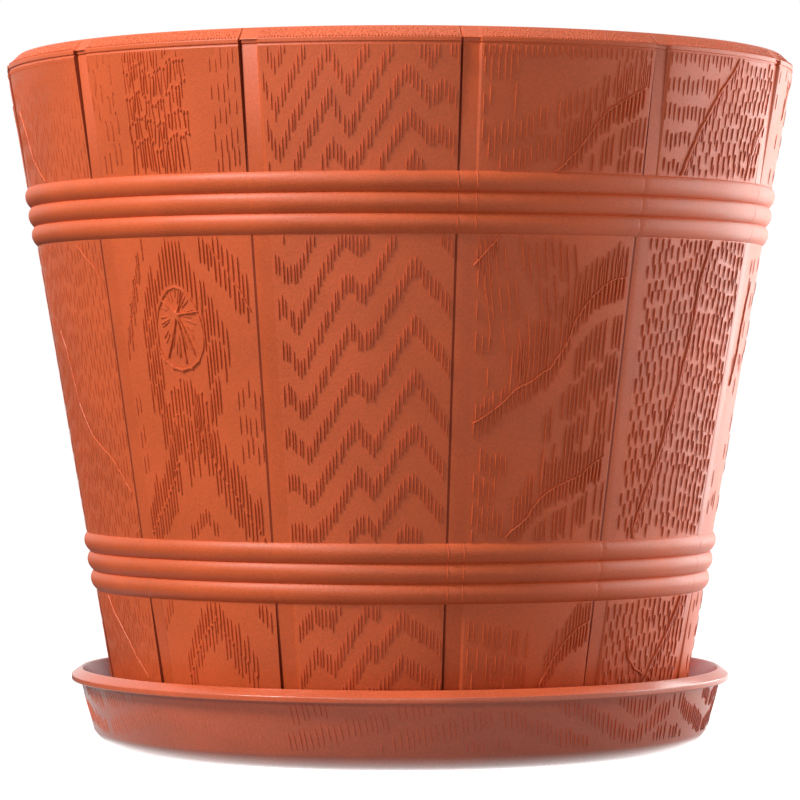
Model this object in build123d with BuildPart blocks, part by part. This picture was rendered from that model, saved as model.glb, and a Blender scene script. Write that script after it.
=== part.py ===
from build123d import *
import os
from math import cos, radians, sin, tan

os.makedirs("parts", exist_ok=True)

# A tapered plastic flower pot, moulded to look like a wooden barrel, stands loose in its saucer.
# The origin is on the ground under the middle, +Z is up and the front of the pot faces -Y.

# Pot, outer form
pot_top = 262.6
pot_foot_height = 6.5
rim_radius = 150.5
rim_bevel_height = 4.2
rim_bevel_width = 4.3
rim_edge_round = 1.5
wall_taper = 9.73
foot_round = 2.5

# Pot, inside and underside
mouth_radius = 145.6
wall_thickness = 3.0
floor_thickness = 2.5
foot_ring_width = 9.0
foot_ring_height = 2.0
well_round = 7.0
drain_hole_radius = 4.0
drain_circle_radius = 72.0
drain_hole_count = 8

# Staves: raised panels parted by narrow sunken strips, placed by the strips between them
front_strip_angles = [-50.2, -20.7, 9.5, 38.5, 68.8]
back_strip_count = 7
strip_width = 6.0
strip_depth = 1.2
strip_side_run = 0.8
strip_depth_on_bevel = 0.5

# Hoops: two bands of three rounded hoops that run over the staves and the strips
hoop_band_heights = [70.9, 201.6]
hoop_pitch = 7.27
hoop_rise = 1.5
hoop_valley = 0.2
hoop_root = 1.8

# Saucer
saucer_height = 30.2
saucer_foot_radius = 105.2
saucer_foot_ring_width = 7.5
saucer_foot_ring_height = 1.5
saucer_corner_radius = 117.4
saucer_corner_height = 6.6
saucer_corner_round = 14.6
saucer_flare = 0.273
saucer_wall = 2.1
saucer_floor = 2.0
saucer_well_round = 11.0
lip_radius = 125.9
lip_edge_height = 27.6
lip_under_height = 25.4
lip_round = 0.7
rib_count = 12
rib_width = 2.5
rib_inner_radius = 42.0
rib_outer_radius = 106.0
rib_ring_radius = 60.0


def stave_radius(height):
    """Radius of the stave faces at a height above the ground."""
    return rim_radius - (rim_edge_height - height) * tan(radians(wall_taper))


def saucer_radius(height):
    """Outer radius of the saucer's straight wall at a height above the ground."""
    return saucer_corner_radius + (height - saucer_corner_height) * saucer_flare


def outward(angle):
    """Level direction at an angle from the front, turning towards +X."""
    return Vector(sin(radians(angle)), -cos(radians(angle)), 0)


rim_edge_height = pot_top - rim_bevel_height
pot_floor_top = pot_foot_height + foot_ring_height + floor_thickness
pot_floor_under = pot_foot_height + foot_ring_height
pot_foot_radius = stave_radius(pot_foot_height)
foot_ring_inner = pot_foot_radius - foot_ring_width
rim_top_radius = rim_radius - rim_bevel_width
well_radius = stave_radius(pot_floor_top) - wall_thickness
mouth_inset = rim_radius - wall_thickness - mouth_radius
straight_mouth_from = rim_edge_height - mouth_inset / tan(radians(wall_taper))

back_span = 360 + front_strip_angles[0] - front_strip_angles[-1]
back_step = back_span / (back_strip_count + 1)
back_strip_angles = [front_strip_angles[-1] + back_step * (i + 1) for i in range(back_strip_count)]
strip_angles = front_strip_angles + back_strip_angles


def strip_plane(angle, radius, height, lean):
    """Plane square to a strip: X along the rim, Y into the wall, Z up the wall's slope."""
    out = outward(angle)
    along = Vector(-out.Y, out.X, 0)
    up_slope = out * sin(radians(lean)) + Vector(0, 0, cos(radians(lean)))
    return Plane(origin=out * radius + Vector(0, 0, height), x_dir=along, z_dir=up_slope)


def strip_corners(depth):
    """Corners of a shallow channel with sloping sides, open towards the outside."""
    half = strip_width / 2
    mouth = half + 2 * strip_side_run
    return [(-half, depth), (half, depth), (mouth, -depth), (-mouth, -depth)]


with BuildPart() as pot:
    # The shell with its floor and foot ring, turned about the axis
    with BuildSketch(Plane.XZ) as shell_section:
        with BuildLine():
            Polyline(
                (0, pot_floor_under),
                (foot_ring_inner, pot_floor_under),
                (foot_ring_inner, pot_foot_height),
                (pot_foot_radius, pot_foot_height),
                (rim_radius, rim_edge_height),
                (rim_top_radius, pot_top),
                (mouth_radius, pot_top),
                (mouth_radius, straight_mouth_from),
                (well_radius, pot_floor_top),
                (0, pot_floor_top),
                close=True,
            )
        make_face()
        rounds = [
            ((rim_radius, rim_edge_height), rim_edge_round),
            ((pot_foot_radius, pot_foot_height), foot_round),
            ((well_radius, pot_floor_top), well_round),
        ]
        for corner, radius in rounds:
            fillet(shell_section.vertices().sort_by_distance(corner)[0], radius)
    revolve(axis=Axis.Z)

    # The sunken strips leave the twelve staves standing proud, and notch the bevel of the rim
    wall_planes = [strip_plane(a, pot_foot_radius, pot_foot_height, wall_taper) for a in strip_angles]
    with BuildSketch(*wall_planes):
        Polygon(*strip_corners(strip_depth), align=None)
    extrude(amount=1.1 * pot_top, mode=Mode.SUBTRACT)
    bevel_lean = -Vector(0, 1).get_angle(Vector(rim_bevel_width, rim_bevel_height))
    bevel_planes = [strip_plane(a, rim_radius, rim_edge_height, bevel_lean) for a in strip_angles]
    with BuildSketch(*bevel_planes):
        Polygon(*strip_corners(strip_depth_on_bevel), align=None)
    extrude(amount=2 * rim_bevel_height, both=True, mode=Mode.SUBTRACT)

    # The hoops, three to a band
    with BuildSketch(Plane.XZ):
        for band_height in hoop_band_heights:
            for step in (-1, 0, 1):
                middle = band_height + step * hoop_pitch
                low = middle - hoop_pitch / 2
                high = middle + hoop_pitch / 2
                with BuildLine():
                    ThreePointArc(
                        (stave_radius(low) - hoop_valley, low),
                        (stave_radius(middle) + hoop_rise, middle),
                        (stave_radius(high) - hoop_valley, high),
                    )
                    Polyline(
                        (stave_radius(high) - hoop_valley, high),
                        (stave_radius(high) - hoop_root, high),
                        (stave_radius(low) - hoop_root, low),
                        (stave_radius(low) - hoop_valley, low),
                    )
                make_face()
    revolve(axis=Axis.Z)

    # Holes that let water out of the soil
    with BuildSketch(Plane.XY.offset(pot_foot_height)):
        with PolarLocations(drain_circle_radius, drain_hole_count):
            Circle(drain_hole_radius)
    extrude(amount=foot_ring_height + 2 * floor_thickness, mode=Mode.SUBTRACT)

pot.part.label = "pot"
export_step(pot.part, "parts/pot.step")


with BuildPart() as saucer:
    # Dish with a rounded foot, a straight flared wall and a rolled lip
    floor_top = saucer_foot_ring_height + saucer_floor
    foot_ring_start = saucer_foot_radius - saucer_foot_ring_width
    corner_middle = (
        saucer_foot_radius + saucer_corner_round * sin(radians(30)),
        saucer_corner_round * (1 - cos(radians(30))),
    )
    with BuildSketch(Plane.XZ) as dish_section:
        with BuildLine():
            Polyline(
                (0, floor_top),
                (0, saucer_foot_ring_height),
                (foot_ring_start, saucer_foot_ring_height),
                (foot_ring_start, 0),
                (saucer_foot_radius, 0),
            )
            ThreePointArc(
                (saucer_foot_radius, 0),
                corner_middle,
                (saucer_corner_radius, saucer_corner_height),
            )
            Polyline(
                (saucer_corner_radius, saucer_corner_height),
                (saucer_radius(lip_under_height), lip_under_height),
                (lip_radius, lip_under_height),
                (lip_radius, lip_edge_height),
                (saucer_radius(saucer_height) - saucer_wall + lip_round, saucer_height),
                (saucer_radius(saucer_height) - saucer_wall, saucer_height),
                (saucer_radius(floor_top) - saucer_wall, floor_top),
                (0, floor_top),
            )
        make_face()
        for corner, radius in [
            ((lip_radius, lip_edge_height), lip_round),
            ((lip_radius, lip_under_height), lip_round),
            ((saucer_radius(floor_top) - saucer_wall, floor_top), saucer_well_round),
        ]:
            fillet(dish_section.vertices().sort_by_distance(corner)[0], radius)
    revolve(axis=Axis.Z)

    # Ribs and a ring on the floor carry the pot clear of the drained water
    with BuildSketch(Plane.XY.offset(floor_top)):
        Circle(rib_ring_radius + rib_width / 2)
        Circle(rib_ring_radius - rib_width / 2, mode=Mode.SUBTRACT)
        with PolarLocations((rib_inner_radius + rib_outer_radius) / 2, rib_count):
            Rectangle(rib_outer_radius - rib_inner_radius, rib_width)
    extrude(amount=pot_foot_height - floor_top)

saucer.part.label = "saucer"
export_step(saucer.part, "parts/saucer.step")
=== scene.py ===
import math
import random

import bpy
import numpy as np
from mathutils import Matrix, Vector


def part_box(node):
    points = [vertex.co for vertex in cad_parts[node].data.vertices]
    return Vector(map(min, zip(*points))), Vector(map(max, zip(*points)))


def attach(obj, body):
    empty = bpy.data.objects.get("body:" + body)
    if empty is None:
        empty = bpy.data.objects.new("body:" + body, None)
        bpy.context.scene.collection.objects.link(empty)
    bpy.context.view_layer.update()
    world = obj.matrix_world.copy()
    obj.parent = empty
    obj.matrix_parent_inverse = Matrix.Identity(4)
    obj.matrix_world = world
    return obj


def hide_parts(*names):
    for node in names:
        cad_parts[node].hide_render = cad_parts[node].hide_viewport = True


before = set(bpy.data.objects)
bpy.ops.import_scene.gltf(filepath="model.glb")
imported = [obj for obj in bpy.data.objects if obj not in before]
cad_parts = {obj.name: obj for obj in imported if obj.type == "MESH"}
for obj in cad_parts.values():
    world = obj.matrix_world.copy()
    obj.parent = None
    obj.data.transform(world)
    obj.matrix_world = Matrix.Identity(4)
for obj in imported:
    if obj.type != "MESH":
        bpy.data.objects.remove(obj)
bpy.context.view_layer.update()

# Ground and measures
# The pot stands in its saucer on the ground at height 0, with its axis on Z and its front towards -Y.
# Sizes are written in millimetres times mm, because the whole scene is in metres.
mm = 0.001


# Saucer
# A shallow dish moulded in one piece from glossy plastic, with a rounded foot, a straight flared wall
# and a lip that rolls outwards. Ribs on its floor carry the pot clear of the drained water.
saucer_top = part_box("saucer")[1].z
lip_radius = 125.9 * mm
lip_edge_height = 27.6 * mm
lip_under_height = 25.5 * mm
saucer_foot_radius = 105.2 * mm
saucer_foot_ring_inner = 97.7 * mm
saucer_under_height = 1.5 * mm
saucer_floor_height = 3.5 * mm
saucer_corner_round = 14.6 * mm
saucer_corner_radius = 117.4 * mm
saucer_corner_height = 6.6 * mm
saucer_flare = 0.273
saucer_wall = 2.1 * mm
saucer_columns = 256
sharp_corner = 35


def saucer_radius(height):
    """Outer radius of the saucer's straight wall."""
    return saucer_corner_radius + (height - saucer_corner_height) * saucer_flare


def rounded(corners, steps=6):
    """Outline of (radius, height) points whose corners, given with a round each, become arcs."""
    outline = []
    for i, (x, z, size) in enumerate(corners):
        here = np.array([x, z])
        if size == 0 or i in (0, len(corners) - 1):
            outline.append((x, z))
            continue
        back = np.array(corners[i - 1][:2]) - here
        ahead = np.array(corners[i + 1][:2]) - here
        back /= np.linalg.norm(back)
        ahead /= np.linalg.norm(ahead)
        half_turn = math.acos(np.clip(np.dot(back, ahead), -1, 1)) / 2
        middle = (back + ahead) / np.linalg.norm(back + ahead)
        centre = here + middle * size / math.sin(half_turn)
        reach = math.pi / 2 - half_turn
        side = np.array([-middle[1], middle[0]])
        if np.dot(side, back) < 0:
            side = -side
        for k in range(steps + 1):
            turn = reach * (1 - 2 * k / steps)
            outline.append(tuple(centre + size * (side * math.sin(turn) - middle * math.cos(turn))))
    return outline


def open_all():
    """Open the active piece for editing, with all of it selected."""
    bpy.ops.object.mode_set(mode="EDIT")
    bpy.ops.mesh.select_all(action="SELECT")


def close_joined():
    """Join the points that lie together and leave editing."""
    bpy.ops.mesh.select_all(action="SELECT")
    bpy.ops.mesh.remove_doubles(threshold=0.01 * mm)
    bpy.ops.object.mode_set(mode="OBJECT")


def repeat_around(count):
    """Copy the open piece this many times around the axis, and close it."""
    bpy.ops.mesh.select_all(action="SELECT")
    bpy.ops.mesh.spin(steps=count, angle=math.tau, center=(0, 0, 0), axis=(0, 0, 1), dupli=True)
    close_joined()


def turned(name, outline, columns):
    """Spin an outline of (radius, height) points about the axis into one closed skin."""
    bpy.ops.mesh.primitive_plane_add(size=mm)
    piece = bpy.context.object
    piece.name = name
    open_all()
    bpy.ops.mesh.merge(type="CENTER")
    bpy.ops.transform.translate(value=(outline[0][0], 0, outline[0][1]))
    for (r0, z0), (r1, z1) in zip(outline, outline[1:]):
        bpy.ops.mesh.extrude_vertices_move(TRANSFORM_OT_translate={"value": (r1 - r0, 0, z1 - z0)})
    bpy.ops.mesh.select_all(action="SELECT")
    bpy.ops.mesh.spin(steps=columns, angle=math.tau, center=(0, 0, 0), axis=(0, 0, 1))
    bpy.ops.mesh.select_all(action="SELECT")
    bpy.ops.mesh.remove_doubles(threshold=0.01 * mm)
    bpy.ops.mesh.normals_make_consistent(inside=False)
    bpy.ops.object.mode_set(mode="OBJECT")
    return piece


def show(thing):
    """Put a new object in the scene."""
    bpy.context.scene.collection.objects.link(thing)


def smooth(piece, degrees):
    """Round the shading of a piece, except over edges sharper than an angle."""
    bpy.ops.object.select_all(action="DESELECT")
    piece.select_set(True)
    bpy.context.view_layer.objects.active = piece
    bpy.ops.object.shade_smooth_by_angle(angle=math.radians(degrees))


cloud_scale = 38
speck_scale = 1250
dark_share = 0.6
gloss_spread = 0.06


def math_node(nodes, operation):
    """A node that works out one sum of its inputs."""
    node = nodes.new("ShaderNodeMath")
    node.operation = operation
    return node


def set_inputs(node, values):
    """Constants for a node, each on the input of its name."""
    for name, value in values.items():
        node.inputs[name].default_value = value


def plastic(name, colour, roughness, specular, tooth_size, tooth_height):
    """Terracotta-coloured plastic: clouded and finely speckled, with the small tooth of an etched mould."""
    material = bpy.data.materials.new(name)
    material.use_nodes = True
    nodes = material.node_tree.nodes
    links = material.node_tree.links
    shader = nodes["Principled BSDF"]
    set_inputs(shader, {"Specular IOR Level": specular})
    place = nodes.new("ShaderNodeTexCoord")

    def noise(scale, detail):
        node = nodes.new("ShaderNodeTexNoise")
        set_inputs(node, {"Scale": scale, "Detail": detail})
        links.new(place.outputs["Object"], node.inputs["Vector"])
        return node

    cloud = noise(cloud_scale, 5)
    speck = noise(speck_scale, 1)
    tooth = noise(1 / tooth_size, 3)
    both = math_node(nodes, "ADD")
    tint = nodes.new("ShaderNodeMix")
    tint.data_type = "RGBA"
    tint.clamp_factor = False
    tint.inputs["A"].default_value = (*[c * dark_share for c in colour], 1)
    tint.inputs["B"].default_value = (*colour, 1)
    links.new(cloud.outputs["Fac"], both.inputs[0])
    links.new(speck.outputs["Fac"], both.inputs[1])
    links.new(both.outputs[0], tint.inputs["Factor"])
    links.new(tint.outputs["Result"], shader.inputs["Base Color"])

    gloss = nodes.new("ShaderNodeMapRange")
    set_inputs(gloss, {"To Min": roughness - gloss_spread, "To Max": roughness + gloss_spread})
    links.new(cloud.outputs["Fac"], gloss.inputs["Value"])
    links.new(gloss.outputs["Result"], shader.inputs["Roughness"])

    bump = nodes.new("ShaderNodeBump")
    set_inputs(bump, {"Strength": 1, "Distance": tooth_height})
    links.new(tooth.outputs["Fac"], bump.inputs["Height"])
    links.new(bump.outputs["Normal"], shader.inputs["Normal"])
    return material


saucer_plastic = plastic(
    "saucer_plastic", (0.66, 0.120, 0.046), roughness=0.20, specular=0.55, tooth_size=0.9 * mm, tooth_height=0.02 * mm,
)

saucer_corner = []
corner_sweep = math.asin((saucer_corner_radius - saucer_foot_radius) / saucer_corner_round)
corner_steps = 9
for i in range(corner_steps + 1):
    turn = corner_sweep * i / corner_steps
    saucer_corner.append((
        saucer_foot_radius + saucer_corner_round * math.sin(turn),
        saucer_corner_round * (1 - math.cos(turn)),
        0,
    ))
inner_top = saucer_radius(saucer_top) - saucer_wall
saucer_outline = rounded([
    (0, saucer_under_height, 0),
    (saucer_foot_ring_inner, saucer_under_height, 0.8 * mm),
    (saucer_foot_ring_inner, 0, 0.6 * mm),
    *saucer_corner,
    (saucer_radius(lip_under_height), lip_under_height, 0.4 * mm),
    (lip_radius, lip_under_height, 0.6 * mm),
    (lip_radius, lip_edge_height, 0.5 * mm),
    (inner_top + 0.6 * mm, saucer_top, 0.5 * mm),
    (inner_top, saucer_top - 0.5 * mm, 0.4 * mm),
    (saucer_radius(saucer_floor_height) - saucer_wall, saucer_floor_height, 11 * mm),
    (0, saucer_floor_height, 0),
])
saucer = turned("saucer_dish", saucer_outline, saucer_columns)
smooth(saucer, sharp_corner)
saucer.data.materials.append(saucer_plastic)
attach(saucer, "saucer")
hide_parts("saucer")

rib_count = 12
rib_length = 64 * mm
rib_middle = 74 * mm
rib_round = 0.5 * mm
rib_ring_radius = 60 * mm
rib_ring_columns = 128
rib_width = 2.5 * mm
rib_low = 3.3 * mm
rib_high = 6.5 * mm
bpy.ops.mesh.primitive_cube_add(size=1)
ribs = bpy.context.object
ribs.name = "saucer_ribs"
open_all()
bpy.ops.transform.resize(value=(rib_length, rib_width, rib_high - rib_low))
bpy.ops.transform.translate(value=(rib_middle, 0, (rib_high + rib_low) / 2))
bpy.ops.mesh.bevel(offset=rib_round, segments=2)
repeat_around(rib_count)
smooth(ribs, sharp_corner)
ribs.data.materials.append(saucer_plastic)
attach(ribs, "saucer")
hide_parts("saucer")

rib_ring = turned("saucer_rib_ring", rounded([
    (rib_ring_radius - rib_width / 2, rib_low, 0),
    (rib_ring_radius - rib_width / 2, rib_high, rib_round),
    (rib_ring_radius + rib_width / 2, rib_high, rib_round),
    (rib_ring_radius + rib_width / 2, rib_low, 0.01 * mm),
    (rib_ring_radius - rib_width / 2, rib_low, 0),
], steps=3), rib_ring_columns)
smooth(rib_ring, sharp_corner)
rib_ring.data.materials.append(saucer_plastic)
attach(rib_ring, "saucer")
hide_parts("saucer")


# Pot shell
# The barrel-shaped pot, one moulding of matte plastic: wall, floor, foot ring, bevelled rim, the two bands of
# three hoops, and the twelve staves that stand proud of the sunken strips between them.
pot_low, pot_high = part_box("pot")
pot_top = pot_high.z
pot_foot_height = pot_low.z
rim_radius = 150.5 * mm
rim_edge_height = pot_top - 4.2 * mm
rim_top_radius = 146.2 * mm
mouth_radius = 145.6 * mm
wall_slope = math.tan(math.radians(9.73))
wall_thickness = 3.0 * mm
pot_floor_height = 11.0 * mm
foot_ring_width = 9.0 * mm
foot_ring_height = 2.0 * mm
rim_groove = [(255.9, 0), (256.3, -0.30), (256.8, -0.35)]
drain_hole_radius = 4 * mm
drain_circle_radius = 72 * mm
drain_hole_count = 8
stave_count = 12
strip_angles = [-50.2, -20.7, 9.5, 38.5, 68.8]
hidden_strips = stave_count - len(strip_angles)
hidden_step = (360 + strip_angles[0] - strip_angles[-1]) / (hidden_strips + 1)
last_seen = strip_angles[-1]
for i in range(hidden_strips):
    strip_angles.append(last_seen + hidden_step * (i + 1))
strip_half = 3.3 * mm
strip_side = 0.35 * mm
strip_depth = 1.2 * mm
crevice_width = 0.55 * mm
strip_depth_on_bevel = 0.5 * mm
strip_depth_on_hoops = 0.03 * mm
hoop_bands = [70.9 * mm, 201.6 * mm]
hoop_pitch = 7.27 * mm
hoop_rise = 1.5 * mm
hoop_valley = 0.2 * mm
columns_per_stave = 26


def stave_ends(number):
    """Angles in degrees of the strips at the left and the right of a stave."""
    start = strip_angles[number]
    end = strip_angles[(number + 1) % stave_count]
    return start, end + 360 if end < start else end


def stave_radius(height):
    """Radius of the faces of the staves."""
    return rim_radius - (rim_edge_height - height) * wall_slope


def hoop_outline(middle):
    """Arc of one round hoop, from its lower valley to its upper one."""
    half = hoop_pitch / 2
    rise = hoop_rise + hoop_valley
    radius = (half ** 2 + rise ** 2) / (2 * rise)
    points = []
    for i in range(13):
        z = half * math.sin(math.radians(-90 + 15 * i))
        proud = math.sqrt(radius ** 2 - z ** 2) - radius + hoop_rise
        points.append((stave_radius(middle + z) + proud, middle + z))
    return points


def band_of(height):
    """Whether a height lies on one of the hoop bands."""
    return any(abs(height - band) < 1.5 * hoop_pitch + 0.05 * mm for band in hoop_bands)


outer = [(stave_radius(pot_foot_height), pot_foot_height, 2.5 * mm)]
for band in hoop_bands:
    for step in (-1, 0, 1):
        outer += [(r, z, 0) for r, z in hoop_outline(band + step * hoop_pitch)]
well_radius = stave_radius(pot_floor_height) - wall_thickness
straight_from = rim_edge_height - (rim_radius - wall_thickness - mouth_radius) / wall_slope
foot_ring_inner = stave_radius(pot_foot_height) - foot_ring_width
pot_outline = rounded([
    (0, pot_foot_height + foot_ring_height, 0),
    (foot_ring_inner, pot_foot_height + foot_ring_height, 1.0 * mm),
    (foot_ring_inner, pot_foot_height, 0.6 * mm),
    *outer,
    *[(stave_radius(z * mm) + inset * mm, z * mm, 0) for z, inset in rim_groove],
    (stave_radius(257.0 * mm) + 0.05 * mm, 257.0 * mm, 0.15 * mm),
    (rim_radius - 0.12 * mm, rim_edge_height, 0.6 * mm),
    (rim_top_radius, pot_top, 0.3 * mm),
    (mouth_radius, pot_top, 0.25 * mm),
    (mouth_radius, straight_from, 8 * mm),
    (well_radius, pot_floor_height, 7 * mm),
    (0, pot_floor_height, 0),
])

pot = turned("pot_shell", pot_outline, stave_count * columns_per_stave)


def strip_depth_at(radius, height):
    """How deep the strips lie below the staves on this part of the skin, none inside the pot."""
    if radius < stave_radius(height) - 1.0 * mm and height < rim_edge_height - 1 * mm:
        return 0
    if height > pot_top - 0.2 * mm or radius < mouth_radius + 0.2 * mm and height > rim_edge_height:
        return 0
    if height > rim_edge_height - 0.2 * mm:
        return strip_depth_on_bevel
    if band_of(height):
        return strip_depth_on_hoops
    if height < pot_foot_height + 0.3 * mm:
        return 0
    return strip_depth


# The columns of the skin next to a strip are pulled to its walls: level 1 is the face of the stave, 0 the strip's
# bottom, and below 0 the crevice beside the strip's left wall.
crevice_from = strip_half - crevice_width
wall_columns = [strip_half + strip_side, strip_half + 2.2 * strip_side]
end_columns = [0, crevice_from - 0.1 * mm, crevice_from, strip_half, *wall_columns]
start_columns = [0, crevice_from - 0.6 * mm, crevice_from - 0.4 * mm, strip_half - 0.3 * mm, *wall_columns]
start_levels = [0, 0, 0, 0, 0.95, 1]
end_levels = [0, 0, -0.9, -0.9, 0.95, 1]
for vertex in pot.data.vertices:
    x, y, height = vertex.co
    radius = math.hypot(x, y)
    if radius < mm:
        continue
    column = round(math.degrees(math.atan2(x, -y)) / 360 * stave_count * columns_per_stave)
    stave, step = divmod(column - columns_per_stave, columns_per_stave)
    start, end = [math.radians(turn) for turn in stave_ends(stave % stave_count)]
    mirrored = min(step, columns_per_stave - step)
    edge = end_columns[-1] / radius
    if mirrored < len(end_columns):
        if step == mirrored:
            angle = start + start_columns[mirrored] / radius
        else:
            angle = end - end_columns[mirrored] / radius
        level = start_levels[mirrored] if step == mirrored else end_levels[mirrored]
    else:
        first = len(end_columns) - 1
        share = (step - first) / (columns_per_stave - 2 * first)
        angle = start + edge + (end - start - 2 * edge) * share
        level = 1
    radius -= (1 - level) * strip_depth_at(radius, height)
    vertex.co = (radius * math.sin(angle), -radius * math.cos(angle), height)

bpy.ops.mesh.primitive_cylinder_add(
    vertices=32, radius=drain_hole_radius, depth=8 * mm, location=(0, -drain_circle_radius, 9.5 * mm),
)
drill = bpy.context.object
bpy.ops.object.transform_apply()
open_all()
repeat_around(drain_hole_count)
bpy.context.view_layer.objects.active = pot
holes = pot.modifiers.new("drain_holes", "BOOLEAN")
holes.operation = "DIFFERENCE"
holes.solver = "EXACT"
holes.object = drill
bpy.ops.object.modifier_apply(modifier="drain_holes")
bpy.data.objects.remove(drill)

pot_plastic = plastic(
    "pot_plastic", (0.62, 0.103, 0.026), roughness=0.48, specular=0.46, tooth_size=0.6 * mm, tooth_height=0.10 * mm,
)
# The sunken strips are smoother than the staves, which is real, and a little darker in colour, which is painted shade
# of the recess.
strip_finish_and_shade = plastic(
    "strip_finish_and_shade", (0.59, 0.097, 0.025), roughness=0.42, specular=0.42, tooth_size=0.6 * mm, tooth_height=0.05 * mm,
)
# The crevice beside each strip's left wall is painted dark: painted shade in the corner, added to its modelled depth.
crevice_painted_shade = plastic(
    "crevice_painted_shade", (0.24, 0.034, 0.011), roughness=0.6, specular=0.2, tooth_size=0.6 * mm, tooth_height=0.05 * mm,
)
smooth(pot, 40)
for finish in (pot_plastic, strip_finish_and_shade, crevice_painted_shade):
    pot.data.materials.append(finish)
on_strip, crevice_shade_index = 1, 2
# The crevice and the strip's left wall get the dark painted shade. The rest of each strip gets the smoother strip
# finish, whose colour is a little darker as painted shade.
for face in pot.data.polygons:
    x, y, height = face.center
    radius = math.hypot(x, y)
    if radius < stave_radius(height) - 2 * mm or height > rim_edge_height - 0.3 * mm or band_of(height):
        continue
    turn = math.degrees(math.atan2(x, -y))
    offset = min(((turn - angle + 180) % 360 - 180 for angle in strip_angles), key=abs)
    across = math.radians(offset) * radius
    if -strip_half - strip_side < across < crevice_width - strip_half:
        face.material_index = crevice_shade_index
    elif abs(across) < strip_half + strip_side:
        face.material_index = on_strip
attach(pot, "pot")
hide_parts("pot")


# Mould marks
# The wood look is cut into the mould, so on the plastic it stands up as thousands of low ridges, about a third of
# a millimetre high. Three kinds are modelled once and copied: slim ticks, drops with a thick top, and beads.
def mould_mark(name, widths):
    """One low ridge, upright, with its half width at each ring from the top to the foot."""
    rings = len(widths)
    bpy.ops.mesh.primitive_uv_sphere_add(segments=6, ring_count=rings + 1, radius=1)
    piece = bpy.context.object
    piece.name = name
    open_all()
    bpy.ops.transform.rotate(value=math.radians(30), orient_axis="Z", center_override=(0, 0, 0))
    for i, width in enumerate(widths):
        height = math.cos(math.pi * (i + 1) / (rings + 1))
        bpy.ops.mesh.select_all(action="DESELECT")
        bpy.ops.object.mode_set(mode="OBJECT")
        for vertex in piece.data.vertices:
            vertex.select = abs(vertex.co.z - height) < 0.01
        bpy.ops.object.mode_set(mode="EDIT")
        scale = width / math.sqrt(1 - height ** 2)
        bpy.ops.transform.resize(value=(scale, scale, 1), center_override=(0, 0, height))
    bpy.ops.object.mode_set(mode="OBJECT")
    corners = np.array([vertex.co for vertex in piece.data.vertices])
    faces = [tuple(face.vertices) for face in piece.data.polygons]
    bpy.data.objects.remove(piece)
    corners[:, 0] /= np.abs(corners[:, 0]).max()
    corners[:, 1] /= np.abs(corners[:, 1]).max()
    corners[corners[:, 1] > 0, 1] *= 0.3
    return corners, faces


tick = mould_mark("tick", [0.62, 0.92, 1.0, 0.90, 0.58])
drop = mould_mark("drop", [0.85, 1.0, 0.86, 0.62, 0.30])
bead = mould_mark("bead", [0.8, 1.0, 0.8])
mark_sink = 0.03
edge_margin = 4.3
stave_wall = (rim_radius / mm - rim_edge_height / mm * wall_slope, wall_slope)
stave_zones = [(9.5, 59.8), (82.0, 190.5), (212.7, 256.2)]


class Stave:
    """The marks of one stave: u runs from -1 at its left strip to 1 at its right one, heights are in mm.
    A board from the front is used again at the back with a flip of -1, which mirrors it, or a shift up or down."""

    def __init__(self, number, seed, wall=stave_wall, zones=stave_zones, shift=0, flip=1):
        start, end = [math.radians(turn) for turn in stave_ends(number)]
        self.wall = wall
        self.zones = zones
        self.shift = shift
        self.flip = flip
        self.middle = (start + end) / 2
        self.half = (end - start) / 2
        self.marks = {"tick": [], "drop": [], "bead": []}
        self.chance = random.Random(seed)

    def half_width(self, height):
        """Half of the width of the stave at a height."""
        return self.half * (self.wall[0] + self.wall[1] * height)

    def add(self, kind, u0, z0, u1, z1, width, high):
        """One mark from its top end to its foot, kept on the face of the stave and off the hoops."""
        u0, u1 = self.flip * u0, self.flip * u1
        middle = (z0 + z1) / 2
        for low, top in self.zones:
            if low <= middle <= top:
                break
        else:
            return
        share0, share1 = 0, 1
        if z0 != z1:
            for limit in (low, top):
                share = (limit - z0) / (z1 - z0)
                if 0 < share < 1:
                    if (limit == top) == (z0 > z1):
                        share0 = share
                    else:
                        share1 = share
        u0, u1 = u0 + (u1 - u0) * share0, u0 + (u1 - u0) * share1
        z0, z1 = z0 + (z1 - z0) * share0, z0 + (z1 - z0) * share1
        reach = 1 - edge_margin / self.half_width(middle)
        if abs((u0 + u1) / 2) > reach:
            return
        self.marks[kind].append((u0, z0, u1, z1, width, high))

    def upright(self, u, top, length, width, high, kind="tick"):
        """One mark that hangs straight down from a height."""
        self.add(kind, u, top, u, top - length, width, high)

    def wander(self, amount):
        """A random step of up to this amount, either way."""
        return self.chance.uniform(-amount, amount)

    def seam(self, points, width, high, step=2.6, wobble=0.25):
        """A raised line through the points, laid as short overlapping ridges."""
        points = [(self.flip * u, z + self.shift) for u, z in points]
        for (u0, z0), (u1, z1) in zip(points, points[1:]):
            wide = self.half_width((z0 + z1) / 2)
            long = math.hypot((u1 - u0) * wide, z1 - z0)
            count = max(1, round(long / step))
            spots = []
            for i in range(count + 1):
                share = i / count
                edge = 0 if i in (0, count) else wobble
                spots.append((
                    u0 + (u1 - u0) * share + self.wander(edge) / wide,
                    z0 + (z1 - z0) * share + self.wander(edge),
                ))
            for a, b in zip(spots, spots[1:]):
                over = 0.22
                self.add(
                    "tick",
                    self.flip * (a[0] - (b[0] - a[0]) * over), a[1] - (b[1] - a[1]) * over,
                    self.flip * (b[0] + (b[0] - a[0]) * over), b[1] + (b[1] - a[1]) * over,
                    width * (1 + self.wander(0.2)), high,
                )


def all_round(stave):
    """Widen a stave to the whole way around, where u is the angle in half turns."""
    stave.middle, stave.half = 0, math.pi
    return stave


def half_turns(degrees):
    """An angle as the u of a stave that goes all the way around, between -1 and 1."""
    u = degrees / 180
    return u - 2 * round(u / 2)


def height_on(points, u):
    """Height of a line of points at u, level beyond its ends."""
    return float(np.interp(u, [p[0] for p in points], [p[1] for p in points]))


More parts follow.
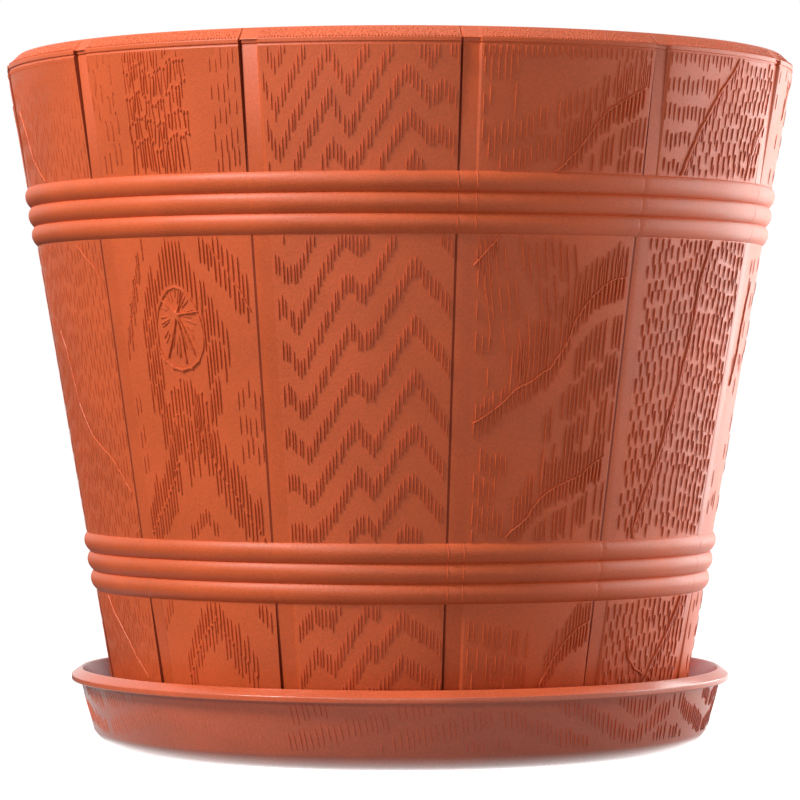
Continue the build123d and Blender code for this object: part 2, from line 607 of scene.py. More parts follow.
def lay_marks(name, stave, body="pot", finish=pot_plastic):
    """Copies of the modelled marks, bent onto a tapered wall and joined into one piece."""
    root, slope = stave.wall
    tilt = math.atan(slope)
    all_points, all_faces, count = [], [], 0
    for kind, (corners, faces) in (("tick", tick), ("drop", drop), ("bead", bead)):
        rows = np.array(stave.marks[kind])
        if not len(rows):
            continue
        u0, z0, u1, z1, width, high = rows.T
        middle_z = (z0 + z1) / 2
        middle_r = root + slope * middle_z
        middle_a = stave.middle + stave.half * (u0 + u1) / 2
        along = np.stack([(u0 - u1) / 2 * stave.half * middle_r, (z0 - z1) / 2], 1)
        length = np.hypot(along[:, 0], along[:, 1])
        across = np.stack([along[:, 1], -along[:, 0]], 1) / length[:, None]
        x, y, z = corners.T
        sideways = along[:, 0, None] * z + across[:, 0, None] * x * width[:, None] / 2
        upward = along[:, 1, None] * z + across[:, 1, None] * x * width[:, None] / 2
        proud = -y * high[:, None] - mark_sink
        heights = middle_z[:, None] + upward
        radii = root + slope * heights + proud * math.cos(tilt)
        angles = middle_a[:, None] + sideways / middle_r[:, None]
        heights = heights - proud * math.sin(tilt)
        points = np.stack([radii * np.sin(angles), -radii * np.cos(angles), heights], 2) * mm
        all_points.append(points.reshape(-1, 3))
        for k in range(len(rows)):
            start = count + k * len(corners)
            all_faces += [tuple(start + v for v in face) for face in faces]
        count += len(rows) * len(corners)
    mesh = bpy.data.meshes.new(name)
    mesh.from_pydata(np.concatenate(all_points), [], all_faces)
    piece = bpy.data.objects.new(name, mesh)
    show(piece)
    smooth(piece, 38)
    mesh.materials.append(finish)
    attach(piece, body)
    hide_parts(body)


# Rim and parting lines
# The bevel of the rim copies the sawn ends of the staves: small bumps all over, and a row of teeth along its lower
# edge. Thin lines left by the joint of the mould cross the hoops at one strip.
bevel_slope = (rim_top_radius - rim_radius) / (pot_top - rim_edge_height)
bevel_wall = (rim_radius / mm - rim_edge_height / mm * bevel_slope - 0.05, bevel_slope)
bump_heights = (259.4, 260.2, 261.0, 261.7)
bump_step = 0.38
tooth_step = 0.44
tooth_top, tooth_foot = 259.0, 258.6
first_bump = 1.7
first_tooth = 1.6
rim_ends = all_round(Stave(0, 20, bevel_wall, [(258.5, 262.4)]))
for number in range(stave_count):
    start, end = stave_ends(number)
    turn = start + first_bump
    while turn < end - first_tooth:
        for height in bump_heights:
            spot = half_turns(turn + rim_ends.wander(0.25))
            level = height + rim_ends.wander(0.3)
            size = 0.5 + rim_ends.wander(0.15)
            rim_ends.add("bead", spot, level + size / 2, spot, level - size / 2, 0.55 + rim_ends.wander(0.15), 0.17)
        turn += bump_step
    turn = start + first_tooth
    while turn < end - first_tooth:
        spot = half_turns(turn)
        rim_ends.add("bead", spot, tooth_top, spot, tooth_foot, 0.55 + rim_ends.wander(0.1), 0.34)
        turn += tooth_step
lay_marks("rim_stipple", rim_ends)

seam_offset = 1.35
seam_section = [(-0.2, -0.05), (0.0, 0.26), (0.2, -0.05)]
seam_points, seam_faces = [], []
for turn in (strip_angles[2] - seam_offset, strip_angles[2] + seam_offset):
    for band in hoop_bands:
        line = []
        for step in (-1, 0, 1):
            line += hoop_outline(band + step * hoop_pitch)
        first = len(seam_points)
        for r, z in line:
            for side, lift in seam_section:
                a = math.radians(turn) + side * mm / r
                seam_points.append(((r + lift * mm) * math.sin(a), -(r + lift * mm) * math.cos(a), z))
        for i in range(len(line) - 1):
            p = first + 3 * i
            seam_faces += [(p, p + 1, p + 4, p + 3), (p + 1, p + 2, p + 5, p + 4), (p + 2, p, p + 3, p + 5)]
        p = first + 3 * (len(line) - 1)
        seam_faces += [(first + 2, first + 1, first), (p, p + 1, p + 2)]
seam_mesh = bpy.data.meshes.new("parting_lines")
seam_mesh.from_pydata(seam_points, [], seam_faces)
parting = bpy.data.objects.new("parting_lines", seam_mesh)
show(parting)
seam_mesh.materials.append(pot_plastic)
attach(parting, "pot")
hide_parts("pot")


# Chevron stave
# Flat-sawn grain in zigzag rows: each row is a line of upright ticks that climbs from a low valley near the left
# strip over a first crest to a high one near the right strip. The rows follow each other every 15 mm.
chevron_rows = [
    (205, [(-0.93, 15), (-0.90, 12), (-0.77, 0), (-0.27, 36), (-0.10, 23), (0.41, 60), (0.64, 47), (0.75, 54),
           (0.89, 50)]),
    (150, [(-0.92, 3), (-0.82, 9), (-0.66, 0), (-0.15, 33), (0.0, 27), (0.49, 59), (0.66, 53), (0.73, 52),
           (0.90, 45)]),
    (95, [(-0.92, 5), (-0.80, 6.5), (-0.60, 0), (-0.09, 25), (0.09, 17.5), (0.53, 43), (0.63, 36), (0.75, 30),
          (0.90, 23)]),
    (40, [(-0.92, -9), (-0.63, 4.6), (-0.43, 0), (0.0, 21.5), (0.08, 19.5), (0.40, 33), (0.55, 29), (0.70, 27),
          (0.88, 20)]),
]
chevron_top = 248.5
chevron_row_pitch = 15.1
chevron_pitch = 1.32
chevron_long, chevron_wide, chevron_high = 7.3, 0.54, 0.34


def chevron_height(valley, u):
    """Middle of a tick of the row whose left valley is at this height."""
    levels = [level for level, _ in reversed(chevron_rows)]
    rises = [height_on(line, u) for _, line in reversed(chevron_rows)]
    return valley + float(np.interp(valley, levels, rises))


def chevron_stave(stave):
    for row in range(-1, 20):
        valley = chevron_top + stave.shift - chevron_row_pitch * row
        wide = stave.half_width(max(20, min(256, valley + 25)))
        steps = int(1.84 * wide / chevron_pitch)
        offset = stave.chance.uniform(0, 1)
        for i in range(steps):
            u = -0.92 + (i + offset + stave.wander(0.2)) * chevron_pitch / wide
            middle = chevron_height(valley, u) + stave.wander(0.7)
            long = chevron_long + stave.wander(0.9)
            stave.upright(u, middle + long / 2, long, chevron_wide + stave.wander(0.05), chevron_high)


stave_c = Stave(1, 3)
chevron_stave(stave_c)
lay_marks("grain_chevron_front", stave_c)


# Cracked stave
# Long slanting cracks cross this stave. Each is a raised line with a comb of tall ridges hanging from it, and
# longer, finer ticks standing on it.
crack_lines = [
    [(-0.95, 178), (-0.85, 182), (-0.75, 186), (-0.65, 190)],
    [(-0.1, 213), (0, 216), (0.15, 222), (0.25, 227), (0.4, 234), (0.55, 237.5), (0.7, 240.5), (0.83, 243)],
    [(-0.95, 123), (-0.85, 124.5), (-0.7, 127.5), (-0.55, 131), (-0.4, 136), (-0.2, 139.5), (-0.1, 142), (0, 144),
     (0.1, 149), (0.2, 155), (0.25, 161), (0.35, 166), (0.45, 170), (0.55, 173), (0.65, 175), (0.85, 176.5)],
    [(-0.97, 57), (-0.85, 60.5)],
    [(-0.4, 84), (-0.3, 87), (-0.15, 91), (-0.05, 96), (0.05, 99), (0.2, 102), (0.35, 104), (0.5, 106),
     (0.65, 110), (0.8, 112.5)],
    [(0.18, 30), (0.3, 37), (0.4, 42), (0.5, 46), (0.65, 50), (0.85, 53)],
]
crack_ticks_above = [(-0.95, 6), (-0.5, 8), (-0.25, 16), (0.05, 14), (0.3, 9), (0.85, 9)]
crack_field_top = [(-0.8, 226), (-0.5, 231), (0.0, 240), (0.4, 247), (0.85, 252)]
crack_field_middle = [(-0.45, 150), (-0.1, 163), (0.3, 180), (0.6, 187), (0.85, 189)]
slim = 0.62
stair_foot = [(-0.88, 160), (-0.6, 151), (-0.3, 160), (0.0, 174), (0.25, 186)]


def cracked_stave(stave):
    shift, wander = stave.shift, stave.wander

    def comb(line, u_step, below):
        """Thick drops hanging from a crack, tallest to the right, and slim ticks standing on it."""
        u = line[0][0] + 0.01
        while u < line[-1][0]:
            edge = height_on(line, u) + shift
            heavy = max(0, 1 - abs(u - 0.68) / 0.35)
            long = below * (0.75 + 0.35 * stave.chance.random()) + 2.0 * heavy
            stave.upright(u, edge + 0.3, long, 0.75 + 0.25 * heavy, 0.42 + 0.45 * heavy, "drop")
            if stave.chance.random() < 0.9:
                lift = height_on(crack_ticks_above, u) * (0.75 + 0.4 * stave.chance.random())
                stave.upright(u + 0.4 * u_step, edge + lift, lift, slim, 0.34)
            u += u_step * (1 + wander(0.15))

    def chain(u, top, foot, long, lean=0.0, chance=0.85, gap=1.6):
        """A column of ticks, one under the other, from a height down to another."""
        while top > foot + 3:
            reach = long * (1 + wander(0.2))
            if stave.chance.random() < chance:
                stave.add("tick", u, top + shift, u + lean, top - reach + shift, slim, 0.34)
            u += lean
            top -= reach + gap + wander(0.8)

    def steps(start, end, pitch):
        """Places from one u to another, about a pitch apart."""
        u = start
        while u < end:
            yield u
            u += pitch * (1 + wander(0.15))

    top_crack, long_crack, lower_crack = crack_lines[1], crack_lines[2], crack_lines[4]
    for line in crack_lines:
        stave.seam(line, 0.7, 0.6)
        comb(line, 0.046, 7.5)
    for u in steps(-0.93, 0.9, 0.056):
        chain(u, 257.5, 252 + wander(1), 5.5, chance=1)
    for u in steps(0.5, 0.88, 0.06):
        chain(u, 254 + wander(2), 246, 11)
    for u in steps(-0.93, -0.55, 0.06):
        chain(u, 256 + wander(1), 245 - 12 * (u + 0.93), 12, chance=1)
    for u in steps(-0.93, -0.8, 0.06):
        chain(u, 240 + wander(3), 214, 8, chance=0.7)
    for u in steps(-0.8, 0.84, 0.062):
        field = height_on(crack_field_top, u) + wander(2)
        chain(u, field, height_on(top_crack, u) + 1, 9, chance=0.9, gap=1.2)
    for u in steps(-0.45, 0.84, 0.062):
        field = height_on(crack_field_middle, u) + wander(2)
        chain(u, field, height_on(long_crack, u) + 3, 13, chance=0.9, gap=0.9)
    for u in steps(0.3, 0.88, 0.05):
        chain(u, height_on(top_crack, u) - 10, 213, 11, chance=0.8, gap=0.9)
    for u in steps(-0.86, 0.22, 0.085):
        chain(u, 189 + wander(3), height_on(stair_foot, u), 13, 0.06, gap=1.0)
    for u in steps(-0.93, -0.7, 0.07):
        chain(u, 176 + wander(3), 130, 7, chance=0.7, gap=4)
    for u in steps(0.32, 0.88, 0.052):
        chain(u, height_on(long_crack, u) - 13, height_on(lower_crack, u) + 9, 14, gap=0.9)
    for u in steps(0.0, 0.32, 0.07):
        chain(u, 128 + 40 * u, height_on(lower_crack, u) + 10, 13, gap=0.9)
    for u in steps(-0.93, -0.45, 0.06):
        chain(u, 115 + wander(2), 78 + 20 * (u + 0.93), 9, chance=0.8)
    for u in steps(-0.3, 0.86, 0.055):
        chain(u, height_on(lower_crack, u) - 9, 83, 12, gap=0.9)
    for u in steps(-0.93, 0.0, 0.06):
        chain(u, 55 - 6 * (u + 0.9), 30, 9, chance=0.75)
    for u in steps(-0.6, 0.88, 0.06):
        chain(u, 28 + wander(2), 10, 8, chance=0.8)


stave_d = Stave(2, 4)
cracked_stave(stave_d)
lay_marks("grain_cracked_front", stave_d)


# Droplet stave
# Staggered rows of short drops with a thick top cover this stave. A long crack runs down through each of its three
# parts, with a fringe of drops on its right side, and a short one joins the lowest.
droplet_cracks = [
    [(0.1, 256), (0, 250), (-0.12, 245), (-0.25, 238), (-0.4, 229), (-0.47, 223), (-0.55, 215), (-0.6, 212)],
    [(0.08, 190), (0, 180), (-0.04, 173), (-0.05, 163), (-0.07, 154), (-0.1, 148), (-0.16, 138), (-0.2, 132),
     (-0.26, 124), (-0.3, 117), (-0.38, 110), (-0.45, 102), (-0.55, 93), (-0.63, 85)],
    [(0.65, 60), (0.5, 52), (0.4, 47), (0.25, 41), (0.1, 35), (0, 30), (-0.12, 22), (-0.2, 14)],
    [(-0.45, 46), (-0.4, 38), (-0.25, 34), (-0.05, 31.5)],
]
long_cracks = droplet_cracks[:3]
leaf = [(0.85, 234), (0.75, 229), (0.65, 222), (0.6, 213)]


def droplet_stave(stave):
    def crack_at(height):
        """Where the long crack runs at a height."""
        for line in long_cracks:
            if line[-1][1] <= height <= line[0][1]:
                return height_on([(z, u) for u, z in reversed(line)], height)
        return -0.1

    def drops(top, low, gap, pitch, long, side, tilt, stagger):
        """Rows of drops on one side of the long crack, every other row shifted by half a pitch."""
        row = 0
        while top - gap * row > low:
            base = top - gap * row
            wide = stave.half_width(base)
            u = -0.95 + (stagger * pitch / 2 / wide if row % 2 else 0)
            while u < 0.95:
                head = base + tilt * u + stave.wander(1.1)
                if side * (u - crack_at(head - long / 2)) > 0.04:
                    length = long * (1 + stave.wander(0.18))
                    stave.upright(u, head + stave.shift, length, 0.66 + stave.wander(0.08), 0.42, "drop")
                u += pitch / wide * (1 + stave.wander(0.12))
            row += 1

    drops(257.4, 212, 9.7, 2.4, 6.0, -1, 0, 0)
    drops(258.5, 208, 4.6, 3.9, 5.4, 1, 2, 1)
    drops(196, 80, 5.0, 3.4, 5.6, -1, 7, 1)
    drops(194, 78, 4.7, 3.9, 5.6, 1, -5, 1)
    drops(62, 8, 4.8, 3.4, 5.6, -1, 5, 1)
    drops(64, 8, 4.7, 3.7, 5.6, 1, -4, 1)
    for line in droplet_cracks:
        stave.seam(line, 1.0, 0.7, 3.2, 0.35)
    for line in long_cracks:
        up = [(z, u) for u, z in reversed(line)]
        z = up[0][0]
        while z < up[-1][0]:
            stave.upright(height_on(up, z) + 0.02, z + stave.shift, 5.5 + stave.wander(1), 0.8, 0.45, "drop")
            z += 2.6 + stave.wander(0.5)
    stave.seam(leaf, 2.2, 0.45, 4)


stave_e = Stave(3, 5)
droplet_stave(stave_e)
lay_marks("grain_droplet_front", stave_e)


# Fine stave
# Quarter-sawn grain: close columns of short faint dashes, a little over two millimetres apart, the full height of
# the stave, with thin slanting cracks across them.
fine_cracks = [
    [(-0.65, 240), (-0.5, 232), (-0.4, 222), (-0.25, 217), (-0.1, 213)],
    [(0.45, 189), (0.6, 184), (0.75, 180), (0.83, 175)],
    [(-0.45, 158), (-0.33, 151), (-0.25, 142), (-0.2, 136), (-0.17, 131), (-0.05, 125), (0.1, 119), (0.3, 115),
     (0.5, 111), (0.65, 106), (0.83, 98.5)],
    [(-0.3, 59), (-0.15, 53), (0, 49), (0.2, 43), (0.4, 36), (0.6, 30)],
]


def fine_stave(stave):
    columns = 30
    for column in range(columns):
        u = -0.93 + 1.86 * column / (columns - 1)
        top = 257.5
        stave.upright(u, top, 3.2, 0.6, 0.2)
        top -= 4.2 + stave.chance.uniform(0, 5)
        while top > 12:
            long = 6.2 + stave.wander(1.6)
            stave.upright(u + stave.wander(0.006), top, long, 0.45, 0.11)
            top -= long + 2.4 + stave.wander(1.2)
    for line in fine_cracks:
        stave.seam(line, 0.6, 0.35)


stave_a = Stave(11, 1)
fine_stave(stave_a)
lay_marks("grain_fine_front", stave_a)


# Knotted stave
# The centre of this board is a branch knot with radial cracks. Long fine ridges flow around it, and below it they
# make a tall cathedral arch. Many ridges start in a small round bead.
knot_centre = (-0.07, 163)
knot_cracks = [(0.01, 171), (0.19, 164), (0.12, 149), (0.0, 146), (-0.24, 148), (-0.24, 168)]
arch_left = [(-0.85, 84), (-0.7, 91), (-0.5, 97), (-0.35, 105), (-0.25, 112)]
arch_right = [(0.05, 122), (0.2, 113), (0.35, 104), (0.55, 94), (0.7, 87), (0.83, 83)]
small_peak = [(-0.2, 85), (0.05, 91), (0.2, 85)]
low_left = [(-0.5, 33), (-0.35, 41), (-0.2, 47), (0.03, 54)]
low_right = [(0.03, 54), (0.15, 48), (0.3, 43), (0.45, 38), (0.6, 31)]
low_crest = [(0.55, 59), (0.7, 54), (0.83, 48)]
low_faint = [(-0.85, 49), (-0.6, 59)]


def knotted_stave(stave):
    shift, wander, upright = stave.shift, stave.wander, stave.upright

    def column(u, top, foot, long, spread, width, high, gap, beads=0.0):
        """Ticks one under the other down to a height, of which this share has a bead on top."""
        while top > foot:
            length = long + wander(spread)
            upright(u, top + shift, length, width, high)
            if beads and stave.chance.random() < beads:
                upright(u, top + 0.5 + shift, 1.2, 1.0, 0.45, "bead")
            top -= length + gap

    def row(line, step, top_of, long, width=0.65, high=0.3, beads=0.0):
        """Ticks along a line, with this share of their length above it and some with a bead on top."""
        u = line[0][0]
        while u <= line[-1][0]:
            z = height_on(line, u) + shift + wander(0.8)
            length = long * (1 + wander(0.25))
            top = z + length * top_of
            upright(u, top, length, width, high)
            if stave.chance.random() < beads:
                upright(u, top + 0.5, 1.4, 1.1, 0.6, "bead")
            u += step * (1 + wander(0.2))

    for base in (255, 244, 233, 222):
        for u in (-0.9, -0.82, -0.74, -0.66, -0.58):
            top = base + 3.6 * math.sin(u * 21 + base) + wander(2)
            upright(u + wander(0.02), top, 6.5 + wander(1.5), 0.6, 0.24)
            upright(u, top + 0.5, 1.1, 0.8, 0.35, "bead")
    for base in (254, 245, 236, 227, 219):
        for u in (0.6, 0.66, 0.72, 0.78, 0.84):
            top = base + 20 * (u - 0.7) + wander(2)
            upright(u + wander(0.01), top, 6.5 + wander(1.5), 0.6, 0.28)
    zigzags = [
        [(-0.42, 249), (-0.2, 251), (-0.05, 247), (0.12, 251), (0.3, 253)],
        [(-0.42, 239), (-0.25, 243), (-0.05, 236), (0.12, 242), (0.3, 245)],
        [(-0.42, 231), (-0.2, 233), (-0.05, 229), (0.1, 233), (0.3, 235)],
        [(-0.42, 223), (-0.2, 225), (-0.05, 221), (0.1, 225), (0.3, 227)],
    ]
    u = -0.4
    while u < 0.33:
        tops = [258] + [height_on(line, u) for line in zigzags]
        for top, foot in zip(tops, tops[1:] + [211]):
            start = top + wander(1.2) if top < 257 else top
            lean = wander(0.014)
            low = foot + 1.5 + wander(2.5)
            if stave.chance.random() < 0.9:
                width, high = 0.62 + wander(0.12), 0.4 + wander(0.12)
                stave.add("tick", u + lean, start, u - lean, low, width, high)
            if top < 257:
                upright(u, start + 0.6, 1.3, 1.05, 0.55, "bead")
        u += 0.037 + wander(0.009)

    around = []
    for i in range(19):
        turn = math.tau * i / 18
        wide = 0.31 - 0.06 * math.cos(turn)
        around.append((-0.06 + wide * math.sin(turn), 158 + 14.8 * math.cos(turn)))
    edge_parts = [
        (0, 5, 0.8, 0.4, 2.2), (4, 8, 0.55, 0.25, 2.2), (7, 13, 0.9, 0.5, 2.0), (12, 16, 0.5, 0.22, 2.2),
        (15, 19, 0.8, 0.4, 2.2),
    ]
    for first, last, width, high, step in edge_parts:
        stave.seam(around[first:last], width, high, step, 0.12)
    for i in range(8, 13):
        u, z = around[i]
        stave.add("bead", u, z + shift + 0.8, u, z + shift - 0.8, 1.4, 0.6)
    cu, cz = knot_centre
    for u, z in knot_cracks:
        bend = (cu + (u - cu) * 0.5 + 0.015, cz + (z - cz) * 0.5)
        stave.seam([(cu, cz), bend, (u, z)], 0.85, 0.55, 3.2, 0.15)
    for i in range(30):
        turn = math.tau * (i + stave.chance.random()) / 30
        near = stave.chance.uniform(0.3, 0.6)
        far = stave.chance.uniform(0.75, 0.95)
        (u1, z1), (u0, z0) = [
            (cu + 0.26 * math.sin(turn) * k, cz - 3 * k + 14 * math.cos(turn) * k) for k in (near, far)
        ]
        stave.add("tick", u0, z0 + shift, u1, z1 + shift, 0.45 + stave.chance.uniform(0, 0.2), 0.2)
    stave.add("bead", cu, cz + 1.6 + shift, cu, cz - 1.6 + shift, 2.6, 0.55)

    u = -0.36
    while u < 0.3:
        dome = 190 - 95 * max(0, abs(u + 0.05) - 0.1) ** 1.1 + wander(1.5)
        knot_edge = 158 + 15.5 * math.sqrt(max(0.0, 1 - ((u + 0.07) / 0.3) ** 2))
        upright(u, dome + shift, max(6, dome - knot_edge), 0.72, 0.45)
        u += 0.048 + wander(0.005)
    for u in (-0.56, -0.52, -0.48, -0.44, -0.40, -0.36):
        column(u, 163 + 90 * (u + 0.56) + wander(2), 136, 11, 2, 0.65, 0.38, 0.5)
    for i, u in enumerate((0.27, 0.31, 0.35, 0.39, 0.44, 0.49, 0.54)):
        column(u, 177 - 3 * i + wander(2), 132 + 3 * i, 12, 3, 0.65, 0.40, 0.6)
    for i in range(15):
        share = i / 14
        u, z = -0.45 - 0.42 * share, 190 - 40 * share
        sway = u + 0.04 * math.sin(2.2 * i)
        upright(sway, z + shift, 5.5 + wander(1), 0.6, 0.25)
        upright(sway, z + 0.5 + shift, 1.2, 0.9, 0.4, "bead")
        upright(u - 0.07, z - 4 + shift, 5 + wander(1), 0.5, 0.2)
    right_crest = [(0.3, 192), (0.4, 188), (0.6, 178), (0.75, 170), (0.84, 164)]
    row(right_crest, 0.05, 0.95, 11, 0.68, 0.40)
    row(right_crest, 0.045, 0.05, 9, 0.68, 0.43)
    stave.seam(right_crest[1:], 0.6, 0.35)

    u = -0.45
    while u < 0.33:
        top = 141 - 30 * abs(u + 0.05) + wander(2)
        column(u, top, 112 + 22 * abs(u + 0.05) ** 1.2, 12, 3, 0.52, 0.34, 0.4, 0.45)
        u += 0.047 + wander(0.008)
    for line in (arch_left, arch_right):
        row(line, 0.045, 1.0, 12, 0.68, 0.40)
        row(line, 0.045, 0.0, 10, 0.72, 0.36, 0.85)
    row(small_peak, 0.05, 0.5, 6)
    for base in (137, 127, 117):
        for u in (0.62, 0.68, 0.74, 0.8, 0.86):
            upright(u + wander(0.01), base + shift + wander(3), 7, 0.55, 0.26)
    for base in (133, 122, 111):
        for u in (-0.9, -0.84, -0.78):
            upright(u, base + shift + wander(3), 7, 0.5, 0.2)
    for line in (low_left, low_right):
        row(line, 0.052, 1.0, 10, 0.68, 0.40)
        row(line, 0.052, 0.0, 8, 0.72, 0.36, 0.9)
    row(low_crest, 0.052, 0.9, 9, 0.68, 0.40)
    row(low_faint, 0.055, 0.9, 7, 0.55, 0.22)
    for base in (26, 17):
        u = -0.8
        while u < 0.8:
            upright(u, base + 4 * math.cos(4 * u) + wander(1), 6.5, 0.6, 0.28)
            u += 0.06


stave_b = Stave(0, 2)
knotted_stave(stave_b)
lay_marks("grain_knotted_front", stave_b)


# Plain stave and the staves behind
# The stave at the right edge is almost plain, with two leaf-shaped cracks. The ones at the back repeat the boards
# of the front, mirrored or moved up or down, as such moulds do.
def plain_stave(stave):
    stave.seam([(-0.62, 176), (-0.7, 160), (-0.72, 148), (-0.8, 138)], 1.6, 0.45, 4)
    stave.seam([(-0.2, 252), (-0.34, 245), (-0.4, 238)], 1.4, 0.4, 4)
    for row in range(22):
        for column in range(12):
            if stave.chance.random() < 0.45:
                u = -0.85 + 0.155 * column + stave.wander(0.04)
                stave.upright(u, 256 - 11.5 * row + stave.wander(3), 6 + stave.wander(1.5), 0.55, 0.2)


stave_f = Stave(4, 6)
plain_stave(stave_f)
lay_marks("grain_plain_side", stave_f)

back_boards = [
    ("grain_chevron_side", 5, chevron_stave, 5, -1),
    ("grain_knotted_back", 6, knotted_stave, 4, -1),
    ("grain_droplet_back", 7, droplet_stave, -3, -1),
    ("grain_chevron_back", 8, chevron_stave, -6, 1),
    ("grain_cracked_back", 9, cracked_stave, 3, -1),
    ("grain_fine_back", 10, fine_stave, 4, -1),
]
for name, number, board, shift, flip in back_boards:
    hidden = Stave(number, 10 + number, shift=shift, flip=flip)
    board(hidden)
    lay_marks(name, hidden)


# Saucer grain
# The wall of the saucer carries the same kind of ticks, slimmer and shallower, leaning to one side and set in
# arches and in V-shaped groups that follow each other around the dish.
saucer_wall_line = ((saucer_corner_radius - saucer_corner_height * saucer_flare) / mm, saucer_flare)
saucer_marks = all_round(Stave(0, 21, saucer_wall_line, [(7.4, 25.2)]))
arches = [
    (-84, -66, 17, 9), (-64, -46, 10, 19), (-44, -24, 18, 9), (-22, -2, 9, 19), (-1, 16, 11, 20),
    (18, 30, 20, 11), (31, 44, 23, 10), (45, 56, 9, 22), (58, 72, 21, 10), (74, 88, 9, 20),
]
rows_apart = 11
saucer_tick = 7.6
saucer_step = 1.02
tick_lean = 0.0016
turn_by = 176
arches += [(a + turn_by, b + turn_by, c, d) for a, b, c, d in arches]
for start, end, height0, height1 in arches:
    turn = start
    while turn < end:
        share = (turn - start) / (end - start)
        faint = 0.4 if -90 < turn < -20 else 1.0
        for row in (-1, 0, 1):
            level = height0 + (height1 - height0) * share + rows_apart * row + saucer_marks.wander(0.9)
            half = (saucer_tick + saucer_marks.wander(1.4)) / 2
            spot = half_turns(turn + row * 0.8)
            saucer_marks.add("tick", spot - tick_lean, level + half, spot + tick_lean, level - half, 0.55, 0.40 * faint)
        turn += saucer_step * (1 + saucer_marks.wander(0.2))
lay_marks("saucer_grain", saucer_marks, "saucer", saucer_plastic)


# Studio
# A white table and wall. A soft lamp stands high on the left and a smaller one in front, a large one hangs overhead,
# two tall lit cards stand on the right, and a low strip of light lies in front of the table.
def soft_lamp(name, place, aim, width, height, power):
    """Rectangular soft lamp that faces a point."""
    light = bpy.data.lights.new(name, "AREA")
    light.shape = "RECTANGLE"
    light.size = width
    light.size_y = height
    light.energy = power
    lamp = bpy.data.objects.new(name, light)
    show(lamp)
    lamp.location = place
    direction = np.array(aim) - np.array(place)
    yaw = math.atan2(direction[0], direction[1])
    pitch = math.atan2(direction[2], math.hypot(direction[0], direction[1]))
    lamp.rotation_euler = (math.pi / 2 + pitch, 0, -yaw)


soft_lamp("key_lamp", (-0.825, -0.556, 0.97), (0, 0, 0.13), width=0.36, height=0.36, power=16)
soft_lamp("side_card_near", (0.6, 0.02, 0.24), (0, 0, 0.24), width=0.3, height=0.46, power=2.1)
soft_lamp("side_card_far", (0.491, 0.344, 0.24), (0, 0, 0.24), width=0.3, height=0.46, power=2.2)
soft_lamp("top_lamp", (0.0, -0.1, 1.45), (0, 0, 0.13), width=0.8, height=0.8, power=4)
soft_lamp("table_strip", (0.0, -1.35, 0.05), (0, 0, 0.05), width=1.0, height=0.08, power=1.5)
soft_lamp("front_lamp", (-0.55, -1.18, 0.45), (0, 0, 0.12), width=0.2, height=0.2, power=3.2)

bpy.ops.mesh.primitive_plane_add(size=12)
floor = bpy.context.object
floor.name = "floor"
open_all()
bpy.ops.mesh.subdivide(number_cuts=3)
bpy.ops.object.mode_set(mode="OBJECT")
paper = bpy.data.materials.new("white_table")
paper.use_nodes = True
nodes = paper.node_tree.nodes
links = paper.node_tree.links
shader = nodes["Principled BSDF"]
set_inputs(shader, {"Base Color": (0.15, 0.15, 0.15, 1), "Roughness": 0.9, "Specular IOR Level": 0.1})
# The table shows white to the camera. Only to glossy rays does it glow brighter near the saucer's foot and on the
# right: painted reflections that give a highlight along the saucer's foot and a pale sheen on the right.
seen_glow = 0.97
painted_foot_reflection, painted_table_reflection, painted_right_reflection = 2.6, 0.6, 1.4
glow = nodes.new("ShaderNodeEmission")
seen = nodes.new("ShaderNodeLightPath")
place = nodes.new("ShaderNodeTexCoord")
reach = nodes.new("ShaderNodeVectorMath")
reach.operation = "LENGTH"
# Painted reflections: a glow near the saucer's foot and on the right of the table, seen only by glossy rays.
near_foot = nodes.new("ShaderNodeValToRGB")
stops = near_foot.color_ramp.elements
stops[0].position = 0.112
stops[0].color = (painted_foot_reflection, painted_foot_reflection, painted_foot_reflection, 1)
stops[1].position = 0.24
stops[1].color = (0, 0, 0, 1)
for position in (0.118, 0.19):
    stops.new(position).color = (painted_table_reflection, painted_table_reflection, painted_table_reflection, 1)
side = nodes.new("ShaderNodeSeparateXYZ")
right_side = nodes.new("ShaderNodeMapRange")
set_inputs(right_side, {"From Min": 0.08, "From Max": 0.20, "To Max": painted_right_reflection})
brightest = math_node(nodes, "MAXIMUM")
in_gloss = math_node(nodes, "MULTIPLY")
strength = math_node(nodes, "MULTIPLY_ADD")
strength.inputs[1].default_value = seen_glow
with_glow = nodes.new("ShaderNodeAddShader")
links.new(place.outputs["Object"], reach.inputs[0])
links.new(reach.outputs["Value"], near_foot.inputs["Fac"])
links.new(place.outputs["Object"], side.inputs["Vector"])
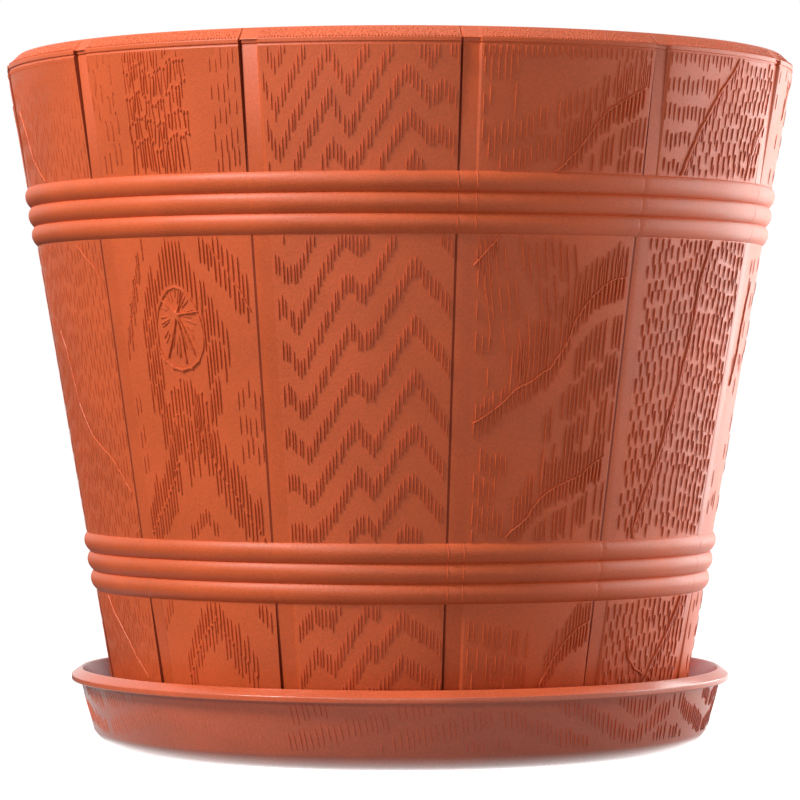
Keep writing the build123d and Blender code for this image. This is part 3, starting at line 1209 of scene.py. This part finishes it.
links.new(side.outputs["X"], right_side.inputs["Value"])
links.new(near_foot.outputs["Color"], brightest.inputs[0])
links.new(right_side.outputs["Result"], brightest.inputs[1])
links.new(brightest.outputs[0], in_gloss.inputs[0])
links.new(seen.outputs["Is Glossy Ray"], in_gloss.inputs[1])
links.new(seen.outputs["Is Camera Ray"], strength.inputs[0])
links.new(in_gloss.outputs[0], strength.inputs[2])
links.new(strength.outputs[0], glow.inputs["Strength"])
links.new(shader.outputs[0], with_glow.inputs[0])
links.new(glow.outputs[0], with_glow.inputs[1])
links.new(with_glow.outputs[0], nodes["Material Output"].inputs["Surface"])
floor.data.materials.append(paper)

world = bpy.data.worlds.new("studio")
bpy.context.scene.world = world
world.use_nodes = True
nodes = world.node_tree.nodes
links = world.node_tree.links
white = nodes["Background"]
set_inputs(white, {"Color": (1, 1, 1, 1)})
dim = nodes.new("ShaderNodeBackground")
set_inputs(dim, {"Color": (1, 1, 1, 1), "Strength": 0.05})
seen = nodes.new("ShaderNodeLightPath")
shows_white = seen.outputs["Is Camera Ray"]
for ray in ("Is Glossy Ray", "Is Transmission Ray"):
    either = math_node(nodes, "MAXIMUM")
    links.new(shows_white, either.inputs[0])
    links.new(seen.outputs[ray], either.inputs[1])
    shows_white = either.outputs[0]
mix = nodes.new("ShaderNodeMixShader")
links.new(shows_white, mix.inputs["Fac"])
links.new(dim.outputs[0], mix.inputs[1])
links.new(white.outputs[0], mix.inputs[2])
links.new(mix.outputs[0], nodes["World Output"].inputs["Surface"])

view_distance = 1462 * mm
view_height = 139 * mm
view_drop = math.radians(0.273)
sensor_width = 36
lens_length = 170.9
camera_data = bpy.data.cameras.new("camera")
camera_data.sensor_width = sensor_width
camera_data.lens = lens_length
camera_data.clip_end = 50
camera = bpy.data.objects.new("camera", camera_data)
show(camera)
camera.location = (0, -view_distance, view_height)
camera.rotation_euler = (math.pi / 2 - view_drop, 0, 0)
bpy.context.scene.camera = camera
bpy.context.scene.view_settings.view_transform = "Standard"
